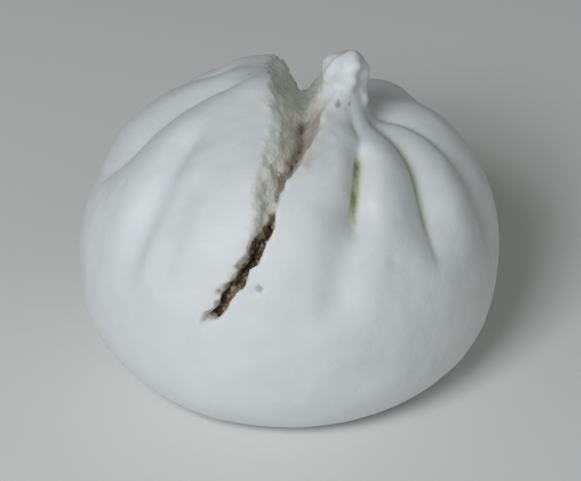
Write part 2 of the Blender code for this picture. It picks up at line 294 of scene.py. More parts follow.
bun = dict(
    girthRadius=0.0370,  # half the width
    girthHeight=0.0140,  # height of the widest ring
    crownRise=0.0360,  # from that ring to the top of the plain dome
    tuckDrop=0.0210,  # how far the underside would run on down without the table
    fullness=2.25,  # 2 is an ellipsoid, more is squarer
    shave=0.0004,  # what the table flattens
    centring=(-0.00040, -0.00022, 0.0),
    ballLevel=8,
    grain=0.00056,  # voxel of the finished mesh
)
girthCentre = np.array([0, 0, bun["girthHeight"]]) + bun["centring"]
centring = Vector(bun["centring"])


def direction(azimuth, tilt):
    a, t = math.radians(azimuth), math.radians(tilt)
    return np.array([math.sin(t) * math.sin(a), -math.sin(t) * math.cos(a), math.cos(t)])


# waypoints down each crease, then its depth, width and fold in mm; a fold above 0 tucks its right side under
pleats = [
    (((72, 17), (54, 24), (37, 33), (30.5, 38), (26, 45), (22, 53)), 2.2, 1.8, 0.0),
    (((48, 27), (37, 33), (30.5, 39), (27, 45), (25, 50)), 2.6, 0.9, 0.0),
    (((26, 40), (17, 56), (12, 72)), 1.5, 3.6, 0.0),
    (((90, 19), (84, 24), (76, 30), (68, 37), (61.5, 43.5), (57, 49), (52, 57), (48, 66)), 4.0, 2.5, 0.3),
    (((106, 21), (100, 26), (94.5, 33), (89, 40.5), (85.5, 47), (82.5, 58), (78, 70), (75, 82)),
     3.3, 2.8, 0.4),
    (((129, 30), (125, 42), (122, 52), (118, 64), (115, 80)), 2.2, 2.0, 0.5),
    (((140, 24), (148, 36), (151, 48), (152, 60), (152, 76)), 2.5, 2.0, -0.5),
    (((-120, 12), (-112, 19), (-105, 26), (-99, 33), (-93.5, 40), (-89, 48), (-88, 62)), 2.7, 2.3, -0.3),
    (((-140, 26), (-135, 40), (-128, 52), (-122, 66), (-118, 78)), 2.2, 2.0, -0.5),
    (((-70, 27), (-62, 34), (-57, 42), (-53, 52), (-52, 62), (-51, 74)), 2.2, 3.2, 0.0),
    (((-45, 38), (-42, 46), (-39, 56), (-37, 68)), 1.2, 3.1, 0.0),
    (((-160, 38), (-156, 46), (-151, 55), (-146, 66), (-143, 80)), 2.2, 2.0, -0.5),
    (((-166, 36), (-167, 48), (-166, 62), (-164, 76)), 2.8, 1.9, -0.6),
]

pleatShape = dict(
    softFrom=3.0,  # a crease this wide in mm is a broad furrow only, a narrower one has a sharp one in it
    spread=2.4,  # how many times broader the broad one is
    foldTurn=0.7, foldReach=4.5,  # how fast the folded side sinks and how far it goes on, in mm
    fadeIn=(-0.08, 0.16), fadeOut=(0.70, 1.08),  # where its two ends fade, as shares of the way down
)

# azimuth and tilt of each swelling, then its rise and reach in mm
swellings = [
    (-105, 10, 1.8, 8.0),
    (-164, 24, -1.1, 7.0),
    (40, 28, 1.2, 11.0),
    (-25, 45, 1.0, 12.0),
    (85, 66, 0.9, 18.0),
    (92, 42, 1.8, 13.0),
    (125, 42, 0.3, 12.0),
    (100, 22, -0.3, 6.0),
    (-88, 62, -0.3, 16.0),
    (125, 30, -3.4, 9.0),
    (106, 58, -1.0, 10.0),
    (-9, 61, -0.5, 0.9),
    (33, 58, -0.25, 1.0),
    (-72, 52, -0.25, 0.9),
]
stubRoot = (98, 13.7, 4.2, 5.0)  # the flare that the stub grows from, as one more swelling


def makePleatLines():  # a chain of points on the unit ball down each crease
    bm = bmesh.new()
    numbers, furrows = [], []
    for number, (waypoints, *furrow) in enumerate(pleats):
        chain = [bm.verts.new(direction(*point)) for point in waypoints]
        for one, two in zip(chain, chain[1:]):
            bm.edges.new((one, two))
        numbers += [number] * len(chain)
        furrows += [furrow] * len(chain)
    lines = objectFrom("pleatLines", bm)
    setAttribute(lines.data, "pleat", np.array(numbers, np.int32), "INT")
    setAttribute(lines.data, "furrow", np.array(furrows), "FLOAT_VECTOR")
    return lines


def makeSwellPoints():
    rows = swellings + [stubRoot]
    mesh = bpy.data.meshes.new("swellPoints")
    mesh.from_pydata([direction(row[0], row[1]) for row in rows], [], [])
    setAttribute(mesh, "swell", np.array([(row[2], row[3], 0.0) for row in rows]), "FLOAT_VECTOR")
    return newObject("swellPoints", mesh)


def skinTree():  # a ball pushed out to a squared dome, swollen, then furrowed along the creases
    tree, add, size = newTree(
        "pleatedSkin", Float="girthRadius girthHeight crownRise tuckDrop fullness shave", Vector="centring",
        Int="ballLevel pleatCount swellCount", Object="creaseLines swellPoints", Material="material",
    )
    place = add("GeometryNodeInputPosition")
    radius = add("GeometryNodeInputNamedAttribute", {"Name": "skinRadius"})
    crease = add("GeometryNodeInputNamedAttribute", {"Name": "crease"})
    bell = (("POWER", 2.0), ("MULTIPLY", -1.0), ("EXPONENT", 0.0))  # from a distance to a bell curve

    # the dome's radius in each direction
    parts = add("ShaderNodeSeparateXYZ", {0: place})
    flat = add("ShaderNodeCombineXYZ", {0: parts.outputs[0], 1: parts.outputs[1]})
    across = add("ShaderNodeVectorMath", {0: flat}, operation="LENGTH").outputs["Value"]
    above = add("ShaderNodeMath", {0: parts.outputs[2], 1: 0.0}, operation="GREATER_THAN")
    rise = add("ShaderNodeMix", {0: above, 2: size["tuckDrop"], 3: size["crownRise"]})
    height = add("ShaderNodeMath", {0: parts.outputs[2]}, operation="ABSOLUTE")
    powers = []
    for distance, full in ((across, size["girthRadius"]), (height, rise)):
        distance = add("ShaderNodeMath", {0: distance, 1: full}, operation="DIVIDE")
        powers.append(add("ShaderNodeMath", {0: distance, 1: size["fullness"]}, operation="POWER"))
    both = add("ShaderNodeMath", {0: powers[0], 1: powers[1]}, operation="ADD")
    root = add("ShaderNodeMath", {0: -1.0, 1: size["fullness"]}, operation="DIVIDE")
    dome = add("ShaderNodeMath", {0: both, 1: root}, operation="POWER")

    # the table flattens the underside, with a rounded edge
    down = add("ShaderNodeMath", {0: parts.outputs[2], 1: -1.0}, operation="MULTIPLY")
    down = add("ShaderNodeMath", {0: down, 1: 0.001}, operation="MAXIMUM")
    drop = add("ShaderNodeMath", {0: size["girthHeight"], 1: size["shave"]}, operation="ADD")
    table = add("ShaderNodeMath", {0: drop, 1: down}, operation="DIVIDE")
    past = dome
    for operation, value in (("DIVIDE", table), ("POWER", 16.0), ("ADD", 1.0), ("POWER", -1 / 16)):
        past = add("ShaderNodeMath", {0: past, 1: value}, operation=operation)
    dome = add("ShaderNodeMath", {0: dome, 1: past}, operation="MULTIPLY")
    shaped = add("GeometryNodeMeshIcoSphere", {"Radius": 1.0, "Subdivisions": size["ballLevel"]})
    for name, value in (("skinRadius", dome), ("crease", 0.0)):
        kept = {"Geometry": shaped, "Name": name, "Value": value}
        shaped = add("GeometryNodeStoreNamedAttribute", kept, data_type="FLOAT", domain="POINT")

    # one pass for each swelling
    swells = add("GeometryNodeObjectInfo", {"Object": size["swellPoints"]}).outputs["Geometry"]
    swellIn = add("GeometryNodeRepeatInput")
    swellOut = add("GeometryNodeRepeatOutput")
    swellIn.pair_with_output(swellOut)
    tree.links.new(size["swellCount"], swellIn.inputs["Iterations"])
    tree.links.new(shaped.outputs[0], swellIn.inputs["Geometry"])
    number = swellIn.outputs["Iteration"]
    spot = add("GeometryNodeSampleIndex", {0: swells, 1: place, 2: number}, **asVector)
    swell = add("GeometryNodeInputNamedAttribute", {"Name": "swell"}, **asVector)
    swell = add("GeometryNodeSampleIndex", {0: swells, 1: swell, 2: number}, **asVector)
    swell = add("ShaderNodeSeparateXYZ", {0: swell}).outputs
    hill = add("ShaderNodeVectorMath", {0: place, 1: spot}, operation="DISTANCE").outputs["Value"]
    for operation, value in (
        ("MULTIPLY", size["girthRadius"]), ("MULTIPLY", 1000.0), ("DIVIDE", swell[1]), *bell,
        ("MULTIPLY", swell[0]),
    ):
        hill = add("ShaderNodeMath", {0: hill, 1: value}, operation=operation)
    raised = add("ShaderNodeMath", {0: hill, 1: mm, 2: radius}, operation="MULTIPLY_ADD")
    kept = {"Geometry": swellIn.outputs["Geometry"], "Name": "skinRadius", "Value": raised}
    swollen = add("GeometryNodeStoreNamedAttribute", kept, data_type="FLOAT", domain="POINT")
    tree.links.new(swollen.outputs[0], swellOut.inputs["Geometry"])

    # the creases as evenly spaced points that know their tangent, their share of the way down and its length
    chains = add("GeometryNodeObjectInfo", {"Object": size["creaseLines"]}).outputs["Geometry"]
    curves = add("GeometryNodeMeshToCurve", {"Mesh": chains})
    curves = add("GeometryNodeCurveSplineType", {"Curve": curves}, spline_type="CATMULL_ROM")
    curves = add("GeometryNodeResampleCurve", {"Curve": curves, "Count": 64})
    tangent = add("GeometryNodeInputTangent")
    share = add("GeometryNodeSplineParameter").outputs["Factor"]
    length = add("GeometryNodeSplineLength").outputs["Length"]
    way = add("ShaderNodeCombineXYZ", {0: share, 1: length})
    for name, value in (("ahead", tangent), ("way", way)):
        kept = {"Geometry": curves, "Name": name, "Value": value}
        curves = add("GeometryNodeStoreNamedAttribute", kept, data_type="FLOAT_VECTOR", domain="POINT")
    wires = add("GeometryNodeCurveToMesh", {"Curve": curves})

    # one pass for each crease: a sharp furrow in a broad one, with one side folded under
    pleatIn = add("GeometryNodeRepeatInput")
    pleatOut = add("GeometryNodeRepeatOutput")
    pleatIn.pair_with_output(pleatOut)
    tree.links.new(size["pleatCount"], pleatIn.inputs["Iterations"])
    tree.links.new(swellOut.outputs["Geometry"], pleatIn.inputs["Geometry"])
    pleat = add("GeometryNodeInputNamedAttribute", {"Name": "pleat"}, data_type="INT")
    number = pleatIn.outputs["Iteration"]
    isThis = add("FunctionNodeCompare", {2: pleat, 3: number}, data_type="INT", operation="EQUAL")
    wire = add("GeometryNodeSeparateGeometry", {"Geometry": wires, "Selection": isThis}, domain="POINT")
    nearest = add("GeometryNodeSampleNearest", {"Geometry": wire}, domain="POINT")
    found = {"place": place}
    for name in ("ahead", "way", "furrow"):
        found[name] = add("GeometryNodeInputNamedAttribute", {"Name": name}, **asVector)
    for name, stored in found.items():
        found[name] = add("GeometryNodeSampleIndex", {0: wire, 1: stored, 2: nearest}, **asVector)
    way, furrow = (add("ShaderNodeSeparateXYZ", {0: found[name]}).outputs for name in ("way", "furrow"))
    gap = add("ShaderNodeVectorMath", {0: place, 1: found["place"]}, operation="SUBTRACT")
    along = add("ShaderNodeVectorMath", {0: gap, 1: found["ahead"]}, operation="DOT_PRODUCT")
    along = add("ShaderNodeMath", {0: along.outputs["Value"], 1: way[1]}, operation="DIVIDE")
    along = add("ShaderNodeMath", {0: along, 1: way[0]}, operation="ADD")
    ends = [
        add("ShaderNodeMapRange", {0: along, 1: first, 2: last, 3: before, 4: 1 - before}, **softly)
        for (first, last), before in ((pleatShape["fadeIn"], 0.0), (pleatShape["fadeOut"], 1.0))
    ]
    fade = add("ShaderNodeMath", {0: ends[0], 1: ends[1]}, operation="MULTIPLY")
    side = add("ShaderNodeVectorMath", {0: found["place"], 1: found["ahead"]}, operation="CROSS_PRODUCT")
    aside = add("ShaderNodeVectorMath", {0: place, 1: side}, operation="DOT_PRODUCT").outputs["Value"]
    for value in (size["girthRadius"], 1000.0):
        aside = add("ShaderNodeMath", {0: aside, 1: value}, operation="MULTIPLY")
    off = add("ShaderNodeMath", {0: aside, 1: furrow[1]}, operation="DIVIDE")
    off = add("ShaderNodeMath", {0: off}, operation="ABSOLUTE")
    isSoft = add("ShaderNodeMath", {0: furrow[1], 1: pleatShape["softFrom"]}, operation="GREATER_THAN")
    spread = add("ShaderNodeMix", {0: isSoft, 2: pleatShape["spread"], 3: 1.0})
    broadShare = add("ShaderNodeMix", {0: isSoft, 2: 0.5, 3: 1.0})
    shapes = []  # the sharp furrow, the broad one and the reach of the fold
    for shape, steps in (
        (off, bell[1:]), (off, (("DIVIDE", spread), *bell)),
        (aside, (("MULTIPLY", 1 / pleatShape["foldReach"]), *bell)),
    ):
        for operation, value in steps:
            shape = add("ShaderNodeMath", {0: shape, 1: value}, operation=operation)
        shapes.append(shape)
    sharp, broad, reach = shapes
    dip = add("ShaderNodeMix", {0: broadShare, 2: sharp, 3: broad})
    dip = add("ShaderNodeMath", {0: dip, 1: furrow[0]}, operation="MULTIPLY")
    fold = add("ShaderNodeMath", {0: aside, 1: 1 / pleatShape["foldTurn"]}, operation="MULTIPLY")
    fold = add("ShaderNodeMath", {0: fold}, operation="TANH")
    fold = add("ShaderNodeMath", {0: fold, 1: reach}, operation="MULTIPLY")
    fold = add("ShaderNodeMath", {0: fold, 1: furrow[2], 2: dip}, operation="MULTIPLY_ADD")
    lowered = add("ShaderNodeMath", {0: fold, 1: fade}, operation="MULTIPLY")
    lowered = add("ShaderNodeMath", {0: lowered, 1: -mm, 2: radius}, operation="MULTIPLY_ADD")
    depth = sharp
    for operation, value in (
        ("MULTIPLY", fade), ("MULTIPLY", furrow[0]), ("DIVIDE", furrow[1]), ("MULTIPLY", 1 / 3),
        ("MAXIMUM", crease),
    ):
        depth = add("ShaderNodeMath", {0: depth, 1: value}, operation=operation)
    furrowed = pleatIn.outputs["Geometry"]
    for name, value in (("crease", depth), ("skinRadius", lowered)):
        kept = {"Geometry": furrowed, "Name": name, "Value": value}
        furrowed = add("GeometryNodeStoreNamedAttribute", kept, data_type="FLOAT", domain="POINT")
    tree.links.new(furrowed.outputs[0], pleatOut.inputs["Geometry"])

    # soft lumps, none of them underneath
    upper = add("ShaderNodeMapRange", {0: parts.outputs[2], 1: -0.55, 2: 0.1}, **softly)
    lumpy = radius
    for lumpScale, detail, height in ((2.3, 0.0, 1.5 * mm), (7.5, 1.0, 0.5 * mm)):
        lump = add("ShaderNodeTexNoise", {"Vector": place, "Scale": lumpScale, "Detail": detail})
        lump = add("ShaderNodeMath", {0: lump, 1: -0.5}, operation="ADD")
        lump = add("ShaderNodeMath", {0: lump, 1: upper}, operation="MULTIPLY")
        lumpy = add("ShaderNodeMath", {0: lump, 1: height, 2: lumpy}, operation="MULTIPLY_ADD")
    ray = add("ShaderNodeVectorMath", {0: place, "Scale": lumpy}, operation="SCALE")
    centre = add("ShaderNodeCombineXYZ", {2: size["girthHeight"]})
    centre = add("ShaderNodeVectorMath", {0: centre, 1: size["centring"]}, operation="ADD")
    spot = add("ShaderNodeVectorMath", {0: ray, 1: centre}, operation="ADD")
    made = add("GeometryNodeSetPosition", {"Geometry": pleatOut.outputs["Geometry"], "Position": spot})
    made = add("GeometryNodeRealizeInstances", {"Geometry": made})
    made = add("GeometryNodeSetMaterial", {"Geometry": made, "Material": size["material"]})
    add("NodeGroupOutput", {0: made})
    return tree


def makeSkin():
    lines, swells = makePleatLines(), makeSwellPoints()
    made = grow("bunSkin", skinTree(), {
        **bun, "creaseLines": lines, "swellPoints": swells, "pleatCount": len(pleats),
        "swellCount": len(swellings) + 1, "material": doughMaterial,
    })
    dropObjects(lines, swells)
    return made


def plainRadius(ways):  # the swollen dome without pleats or stub, for placing the burst
    across = np.hypot(ways[:, 0], ways[:, 1]) / bun["girthRadius"]
    rise = np.where(ways[:, 2] > 0, bun["crownRise"], bun["tuckDrop"])
    power = bun["fullness"]
    radius = (across**power + np.abs(ways[:, 2] / rise) ** power) ** (-1 / power)
    for azimuth, tilt, height, reach in swellings:
        away = np.linalg.norm(ways - direction(azimuth, tilt), axis=1) * bun["girthRadius"] / mm
        radius += height * mm * np.exp(-((away / reach) ** 2))
    return radius


skin = makeSkin()
print("skin", len(skin.data.vertices))


# The pinched stub, where the pleats were twisted together

stub = dict(
    foot=(0.0084, 0.0005, 0.0430), top=(0.0103, 0.0015, 0.0575),
    radius=0.0035, footSpread=0.22,  # the foot is wider by this share
    capFrom=0.72, capPower=2.6,  # the share of the height where the top rounds off, and how squarely
    slant=0.0006, slantTurn=2.2,  # how far one side of the top stands higher, and which
    lobes=5, lobeDepth=0.12, twist=0.9,
    knob=0.0004, knobPlace=(0.80, 0.2), knobReach=(0.13, 0.42),  # near its top: share of the height and turn
    lumpSize=0.0028, fineSize=0.0011, lumpHeight=0.0009,
    wrinkleSize=(0.003, 0.003, 0.0014), wrinkleHeight=0.0006,
    levels=60, turns=96,
)


def makeStub():
    foot, top = (Vector(stub[k]) + centring for k in ("foot", "top"))
    axis = (top - foot).normalized()
    east = axis.cross(Vector((0, 1, 0))).normalized()
    north = axis.cross(east)
    knobShare, knobTurn = stub["knobPlace"]
    knobTall, knobWide = stub["knobReach"]
    bm = bmesh.new()
    rings = []
    for share in np.arange(stub["levels"]) / (stub["levels"] - 1):
        capped = max(0.0, (share - stub["capFrom"]) / (1 - stub["capFrom"]))
        cap = math.sqrt(max(0.0, 1 - capped ** stub["capPower"]))
        taper = 1 + stub["footSpread"] * (1 - share)
        ring = []
        for turn in math.tau * np.arange(stub["turns"]) / stub["turns"]:
            lobe = 1 + stub["lobeDepth"] * math.cos(stub["lobes"] * (turn - stub["twist"] * share))
            out = east * math.cos(turn) + north * math.sin(turn)
            slant = stub["slant"] * math.cos(turn - stub["slantTurn"]) * share
            rightHeight = math.exp(-((share - knobShare) / knobTall) ** 2)
            knob = stub["knob"] * rightHeight * math.exp(-(math.sin((turn - knobTurn) / 2) / knobWide) ** 2)
            place = foot + axis * (share * (top - foot).length + slant)
            place += out * (stub["radius"] * taper * lobe * cap + knob)
            near = place - centring
            lump = noise.noise(near / stub["lumpSize"] + noiseStart)
            lump += 0.5 * noise.noise(near / stub["fineSize"])
            wrinkle = noise.noise(Vector([c / s for c, s in zip(near, stub["wrinkleSize"])]))
            lump = stub["lumpHeight"] * lump + stub["wrinkleHeight"] * wrinkle
            ring.append(bm.verts.new(place + (out * 0.9 + axis * 0.3) * lump))
        rings.append(ring)
    closeRings(bm, rings)
    bmesh.ops.remove_doubles(bm, verts=bm.verts[:], dist=0.00001)
    bmesh.ops.recalc_face_normals(bm, faces=bm.faces[:])
    return objectFrom("pinchedStub", bm)


# The burst: a wedge torn out along a path from the back, over the crown and down the front

burst = dict(
    overshoot=0.013,  # how far the wedge stands out of the skin
    flares=((2.2, 0.85), (1.15, 0.9)),  # how far each face goes on widening above the skin, and its curve
    cragSize=0.0034, cragHeight=0.0010, cragFrom=0.0030,  # big crags, weaker near the middle
    wanderSize=0.0026, wanderHeight=0.0009,  # how the crack zigzags
    calmWidth=(0.003, 0.005),  # the zigzag dies down where the burst gets this wide
    streakLength=0.0070, streakSize=0.0015, streakHeight=0.0006,  # soft layers along the torn faces
    closedTip=0.4 * mm,  # the bottom is closed where its half width is less than this
    levels=44, perStep=24,
)
# azimuth and tilt of each station, then depth and half width of the left face, right face and bottom in mm
burstPath = [
    (176, 80, -2.0, 0.2, 0.2, 0.1),
    (176, 70, 3.0, 1.4, 1.2, 0.1),
    (175, 59, 5.2, 3.2, 3.2, 0.4),
    (173, 46, 6.6, 5.0, 5.4, 1.0),
    (171, 33, 7.2, 6.4, 6.2, 1.2),
    (163, 17, 7.2, 6.6, 5.4, 0.8),
    (80, 5, 7.2, 6.5, 4.0, 0.3),
    (16, 17, 6.6, 5.9, 2.6, 0.2),
    (2, 26, 5.2, 4.4, 1.6, 0.2),
    (-4.5, 35, 4.4, 3.6, 0.9, 0.2),
    (-6, 42, 5.2, 2.8, 0.6, 0.25),
    (-8, 49, 9.0, 1.8, 0.9, 0.8),
    (-13.3, 59, 9.0, 1.3, 0.9, 0.9),
    (-20.5, 68.5, 8.0, 0.9, 0.7, 0.6),
    (-23.2, 73.5, 4.0, 0.55, 0.5, 0.4),
    (-25, 77.5, -4.0, 0.4, 0.4, 0.3),
]


def makeSplit():
    rows = [[*direction(azimuth, tilt), *np.array(sizes) * mm] for azimuth, tilt, *sizes in burstPath]
    stations = smoothPath(rows, burst["perStep"])
    ways = unit(stations[:, :3])
    radii = plainRadius(ways)
    lefts = unit(np.cross(np.gradient(ways, axis=0), ways))
    runs = np.cumsum(np.linalg.norm(np.gradient(ways, axis=0), axis=1)) * bun["girthRadius"]
    bm = bmesh.new()
    rings, bottom = [], []
    for way, side, radius, run, (depth, left, right, tip) in zip(ways, lefts, radii, runs, stations[:, 3:]):
        ring = []
        calm = 1 - 0.7 * smoothStep(*burst["calmWidth"], left)
        for sign, wide, (most, power) in zip((1, -1), (left, right), burst["flares"]):
            column = []
            for level in np.linspace(0, 1, burst["levels"]):
                out = -depth + level * (depth + burst["overshoot"])
                share = min(max((out + depth) / max(depth, mm), 0), most)
                offset = tip + (wide - tip) * share**power
                middle = Vector(way * (radius + out)) + Vector((0, 0, bun["girthHeight"]))
                near = middle + Vector(side) * (sign * offset)
                wander = noise.noise(middle / burst["wanderSize"])
                wander = calm * (wander + 0.5 * noise.noise(middle / (0.4 * burst["wanderSize"])))
                crag = noise.noise(near / burst["cragSize"] + noiseStart)
                crag += 0.5 * noise.noise(near / (0.45 * burst["cragSize"]) - noiseStart)
                crag += 0.3 * noise.noise(near / (0.22 * burst["cragSize"]))
                layer = Vector((run / burst["streakLength"], out / burst["streakSize"], 2.3 * sign))
                push = burst["cragHeight"] * crag + burst["streakHeight"] * noise.noise(layer)
                shift = sign * push * min(1.0, offset / burst["cragFrom"]) + burst["wanderHeight"] * wander
                column.append(bm.verts.new(near + centring + Vector(side) * shift))
            ring.append(column)
        bottom.append((*(ring[0][0].co + ring[1][0].co) / 2, tip, *side))
        rings.append(ring[0][::-1] + ring[1])
    closeRings(bm, rings)
    bmesh.ops.triangulate(bm, faces=bm.faces[:])
    bmesh.ops.recalc_face_normals(bm, faces=bm.faces[:])
    return objectFrom("splitWedge", bm), np.array(bottom)


# The pork filling, and the pocket that it lies in

pork = dict(
    centre=(-0.0038, -0.0108, 0.0238), size=(0.0195, 0.0215, 0.0155),
    chunkSize=0.0085, chunkHeight=0.0014,
    mincedSizes=(0.0026, 0.0011), mincedHeight=0.0004,  # finer lumps, on the filling only
    gap=0.0003,  # between the filling and the dough
    bareReach=0.0006,  # how near the burst the filling counts as lying bare
    pocketLevel=5, fillingLevel=6,
)


def makeFilling(name, level, gap=0.0, minced=0.0):
    bm = bmesh.new()
    bmesh.ops.create_icosphere(bm, subdivisions=level, radius=1.0)
    centre = Vector(pork["centre"]) + centring
    coarse, fine = pork["mincedSizes"]
    for vertex in bm.verts:
        way = vertex.co.normalized()
        plain = Vector([w * s for w, s in zip(way, pork["size"])])
        chunk = plain / pork["chunkSize"]
        lump = noise.cell(chunk + noiseStart) * 0.5 + noise.noise(chunk)
        small = noise.noise(plain / coarse) + 0.5 * noise.noise(plain / fine)
        vertex.co = centre + plain + way * (pork["chunkHeight"] * lump + gap + minced * small)
    axes = {"use_axis_" + axis: True for axis in "xyz"}
    bmesh.ops.smooth_vert(bm, verts=bm.verts[:], factor=0.5, **axes)
    return objectFrom(name, bm)


def addBoolean(target, other, operation):
    step = target.modifiers.new(other.name, "BOOLEAN")
    step.operation = operation
    step.solver = "EXACT"
    step.object = other


def keepLargestPiece(mesh):  # drops the scraps that the cuts leave loose
    bm = bmesh.new()
    bm.from_mesh(mesh)
    waiting, pieces = set(bm.verts), []
    while waiting:
        front = {waiting.pop()}
        piece = set(front)
        while front:
            front = {edge.other_vert(v) for v in front for edge in v.link_edges} & waiting
            waiting -= front
            piece |= front
        pieces.append(piece)
    pieces.sort(key=len)
    bmesh.ops.delete(bm, geom=[v for piece in pieces[:-1] for v in piece], context="VERTS")
    bm.to_mesh(mesh)
    bm.free()


# The dough: skin and stub, torn open by the wedge and hollowed by the pocket, then given its relief

dough = dict(
    snap=0.00035,  # how far a vertex may be off the true skin and still be set on it
    tornFrom=(0.0002, 0.0016),  # how far from the skin the dough starts to look torn, and where it fully does
    wholeBelow=0.002,  # nothing is torn below this height
    bareFlank=0.0016, flankReach=(0.009, 0.006),  # how far the stub counts as torn inside the burst
    sauceReach=(0.0025, 0.0072),  # how far it soaked in from the filling, over the crown and in the crack
    crackTop=0.0387,  # height of the crack's upper end
    bitsFrom=(0.60, 0.0018),  # bits of pork cling where there is so much sauce, so far from the skin
    rightTender=0.5, tenderFrom=0.0015,  # how much smoother and whiter the right face tore than the left
    cleftReach=0.0007, cleftDepth=0.0007, cleftBack=0.012,  # the sharp fold where the bottom is closed, sunk in and darkened there with painted shade
    seepAndShadeReach=(0.0018, 0.0078),  # how far the sauce stain and painted shade reach over the burst's left and right face from the bottom; the wider right reach is painted shade
    seepAndShadeBack=(0.006, -0.005), seepAndShadeFront=(-0.0225, -0.0175),  # where it fades, in y
    lipReach=0.0009, lipGrain=0.0011, lipFrom=(0.022, 0.028),  # ragged skin left of the crack, above this
    lipTorn=0.8, lipSauce=0.75, lipSauceTop=(0.039, 0.036),  # how torn and brown it is, and where brown ends
    lipRounding=6,  # how often the torn edge of the skin is smoothed
    poreSize=0.0012, poreDepth=0.00014,  # open crumb of the torn faces
    crumbSize=0.0022, crumbHeight=0.00032,
    fibreSize=(0.0016, 0.0040, 0.0022), fibreHeight=0.00022,  # the strands that the dough tore into
)


def blurred(mesh, values, times):  # each vertex takes up half of its neighbours' mean
    ends = np.empty(len(mesh.edges) * 2, np.int32)
    mesh.edges.foreach_get("vertices", ends)
    one, two = ends[::2], ends[1::2]
    count = np.maximum(np.bincount(ends, minlength=len(values)), 1)
    for _ in range(times):
        total = np.bincount(one, values[two], len(values)) + np.bincount(two, values[one], len(values))
        values = 0.5 * values + 0.5 * total / count
    return values


def markDough(mesh, stubPost, splitWedge, pocket, splitBottom):  # trues the skin, finds what each vertex is
    graph = bpy.context.evaluated_depsgraph_get()
    skinFaces, stubFaces, pocketFaces, wedgeFaces = (
        bvhtree.BVHTree.FromObject(one, graph) for one in (skin, stubPost, pocket, splitWedge))
    closed = splitBottom[splitBottom[:, 3] < burst["closedTip"]]
    skinSpots, closedSpots, pathSpots = (
        pointTree(rows) for rows in (getRows(skin.data.vertices, "co"), closed[:, :3], splitBottom[:, :3]))
    skinCrease = getRows(skin.data.attributes["crease"].data, "value", 1)[:, 0]
    beside = 2 * bun["grain"]
    places = getRows(mesh.vertices, "co")
    torn, crease, sauce, seep, cleft, soaked = marks = np.zeros((6, len(places)))
    for k, place in enumerate(places):
        spot, _, _, away = skinFaces.find_nearest(place)
        stubAway, pocketAway, wedgeAway = (
            faces.find_nearest(place)[3] for faces in (stubFaces, pocketFaces, wedgeFaces))
        if away < dough["snap"] and stubAway > beside:
            places[k] += (1 - smoothStep(0.6, 1.0, away / dough["snap"])) * (np.array(spot) - place)
        x, y, z = place  # the vertex after it was set on the skin
        bottomSpot, row, bottomAway = closedSpots.find(place)
        rightward = (bottomSpot - Vector(place)).dot(Vector(closed[row, 4:]))
        off = min(away, stubAway + dough["bareFlank"] * smoothStep(*dough["flankReach"], bottomAway))
        if z > dough["wholeBelow"]:
            torn[k] = smoothStep(*dough["tornFrom"], off)
            crown, crack = dough["sauceReach"]
            reach = crown + smoothStep(0.002, -0.002, z - dough["crackTop"]) * (crack - crown)
            sauce[k] = torn[k] * (1 - smoothStep(0.2, 1.0, pocketAway / reach))
            enough, deep = dough["bitsFrom"]
            soaked[k] = sauce[k] > enough and off > deep and wedgeAway < beside
        crease[k] = skinCrease[skinSpots.find(place)[1]]
        tender = smoothStep(0, dough["tenderFrom"], rightward) * smoothStep(0.004, -0.004, y)
        torn[k] *= 1 - dough["rightTender"] * tender
        # the closed bottom: how far it sinks in, and the share of its painted contact shadow
        cleft[k] = torn[k] * math.exp(-((bottomAway / dough["cleftReach"]) ** 2))
        cleft[k] *= smoothStep(dough["cleftBack"], 0.0, y)
        # sauce stain near the burst's bottom, with painted shade on the right face and the stub's foot, where
        # the left lobe shades the notch
        stainedAndShaded = smoothStep(*dough["seepAndShadeBack"], y) * smoothStep(*dough["seepAndShadeFront"], y)
        reach = dough["seepAndShadeReach"][int(rightward > 0)]
        seep[k] = stainedAndShaded * (0.7 + 0.3 * torn[k]) * math.exp(-((bottomAway / reach) ** 2))
        pathSpot, row, _ = pathSpots.find(place)
        leftward = (Vector(place) - pathSpot).dot(Vector(splitBottom[row, 4:]))
        if y < 0 < leftward:
            rag = smoothStep(-0.3, 0.2, noise.noise(Vector(place) / dough["lipGrain"]))
            rag *= math.exp(-((wedgeAway / dough["lipReach"]) ** 2)) * smoothStep(*dough["lipFrom"], z)
            torn[k] = max(torn[k], dough["lipTorn"] * rag)
            sauce[k] = max(sauce[k], dough["lipSauce"] * rag * smoothStep(*dough["lipSauceTop"], z))
    return places, marks


